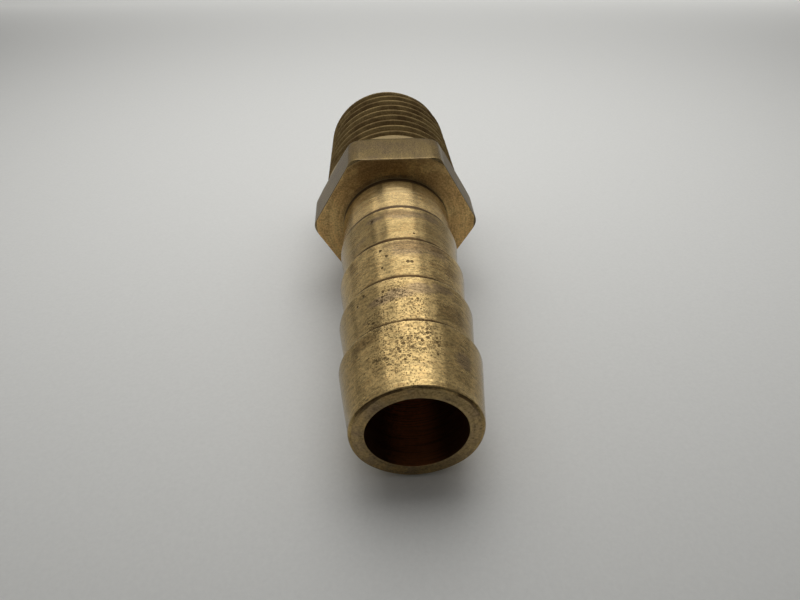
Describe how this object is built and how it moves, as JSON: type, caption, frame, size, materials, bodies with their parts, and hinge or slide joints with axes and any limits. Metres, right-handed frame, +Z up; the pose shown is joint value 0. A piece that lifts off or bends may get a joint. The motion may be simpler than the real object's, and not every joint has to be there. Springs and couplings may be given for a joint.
{
  "type": "hose barb tail",
  "caption": "One-piece brass hose tail with a tapered male pipe thread, a hexagon collar and a barbed spigot, with a straight waterway from end to end.",
  "frame": {"origin": "on the fitting's axis, in the face of the hexagon collar that looks at the hose", "axes": "+Y along the axis towards the threaded end, so the barbs point to -Y; +Z up, square to one flat of the hexagon; +X towards a corner of the hexagon"},
  "size_m": [0.0162, 0.0445, 0.0142],
  "materials": {
    "brass": "turned, dulled and tarnished, with pits and light scratches"
  },
  "bodies": {
    "root": {"hose_barb_tail": "brass"}
  },
  "joints": []
}
